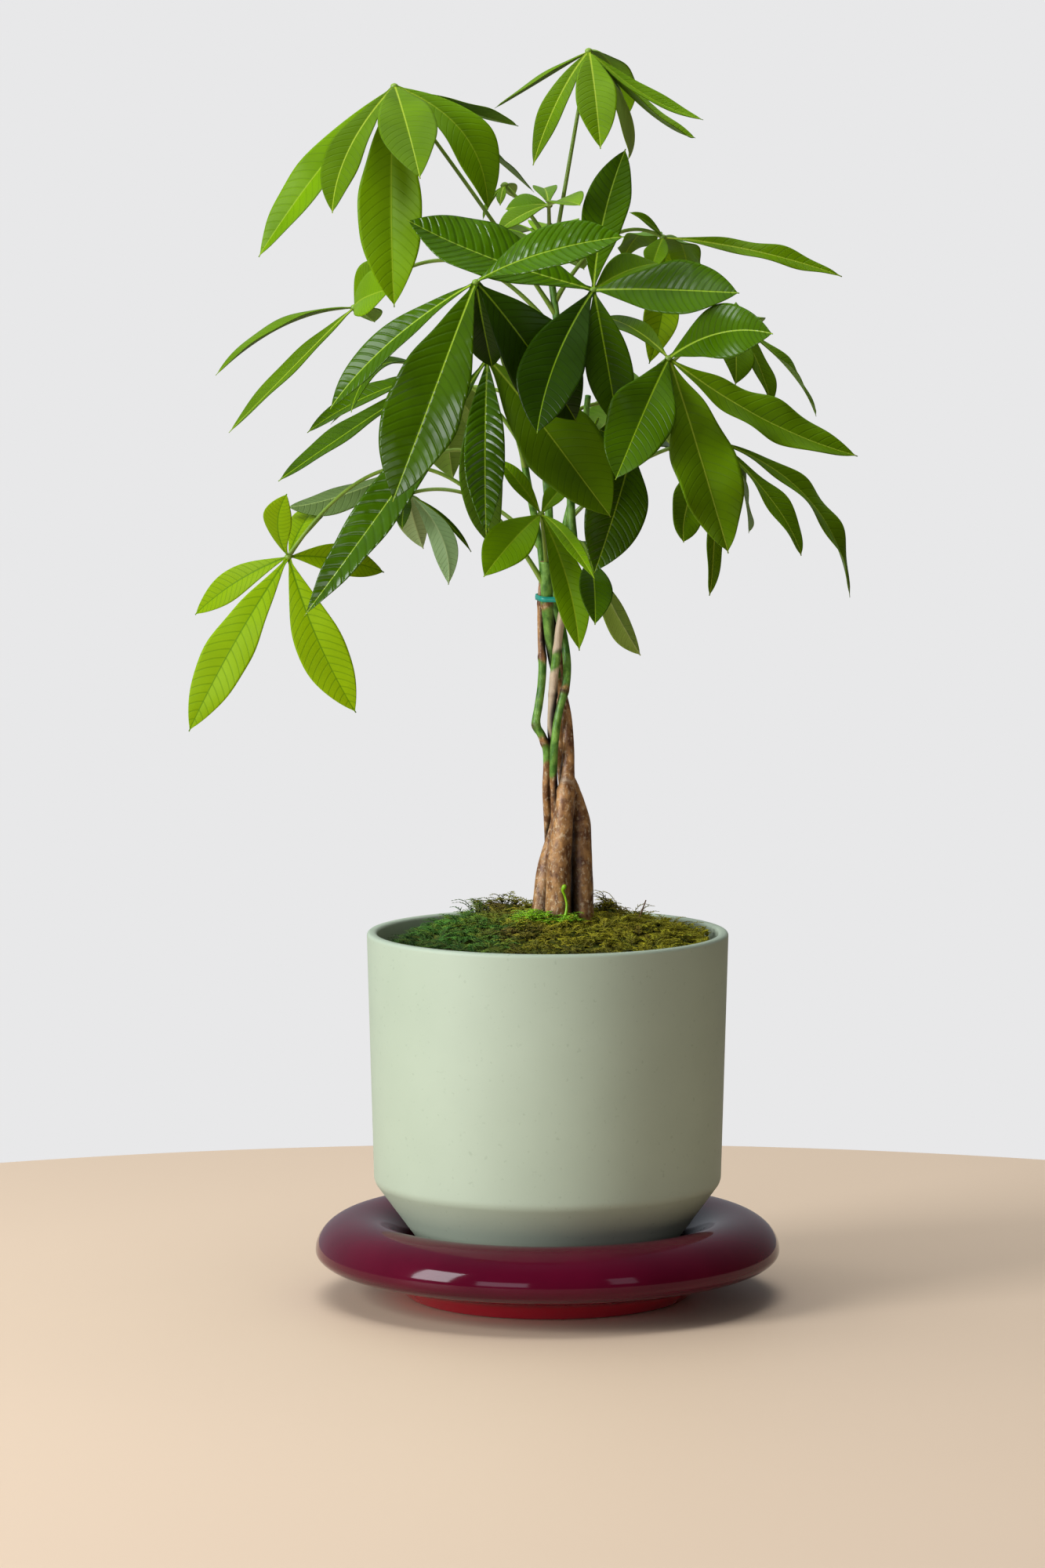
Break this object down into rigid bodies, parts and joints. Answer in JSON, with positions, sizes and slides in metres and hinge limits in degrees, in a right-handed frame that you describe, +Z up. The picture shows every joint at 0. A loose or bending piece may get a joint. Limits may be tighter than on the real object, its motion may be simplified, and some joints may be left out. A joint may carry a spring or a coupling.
{
  "type": "potted money tree",
  "caption": "House plant with braided stems and palmate leaves, growing from moss and soil in a tapered glazed pot that stands on a saucer with a thick rounded rim.",
  "frame": {"origin": "centre of the saucer's flat underside, on the surface it stands on", "axes": "+Z up along the pot's axis, -Y towards the viewer of the picture, +X to the viewer's right"},
  "size_m": [0.3259, 0.2743, 0.6199],
  "materials": {
    "saucer_glaze": "glossy burgundy glaze over earthenware",
    "pot_glaze": "matt sage green glaze over stoneware",
    "soil": "damp dark potting soil",
    "moss": "living fibrous moss, olive to yellow green",
    "bark": "fine brown bark below, green skin above",
    "tie": "thin teal plastic tie",
    "leaf": "waxy green leaf with pale veins"
  },
  "bodies": {
    "root": {"saucer": "saucer_glaze", "pot": "pot_glaze", "soil": "soil", "moss": "moss", "stem_front": "bark", "stem_right": "bark", "stem_left": "bark", "stem_back_left": "bark", "stem_back_right": "bark", "tie": "tie", "leaf_crown_left": "leaf", "leaf_crown_right": "leaf", "leaf_young_tip": "leaf", "leaf_new_shoot": "leaf", "leaf_left_high": "leaf", "leaf_front_left": "leaf", "leaf_front_mid": "leaf", "leaf_centre": "leaf", "leaf_left_mid": "leaf", "leaf_left_low": "leaf", "leaf_bright_low": "leaf", "leaf_low_shade": "leaf", "leaf_trunk_front": "leaf", "leaf_trunk_right": "leaf", "leaf_hanging": "leaf", "leaf_right": "leaf", "leaf_right_back": "leaf", "leaf_right_low": "leaf", "leaf_right_high": "leaf", "leaf_back_top": "leaf", "leaf_back_left": "leaf", "leaf_back_right": "leaf", "leaf_back_mid": "leaf"}
  },
  "joints": []
}
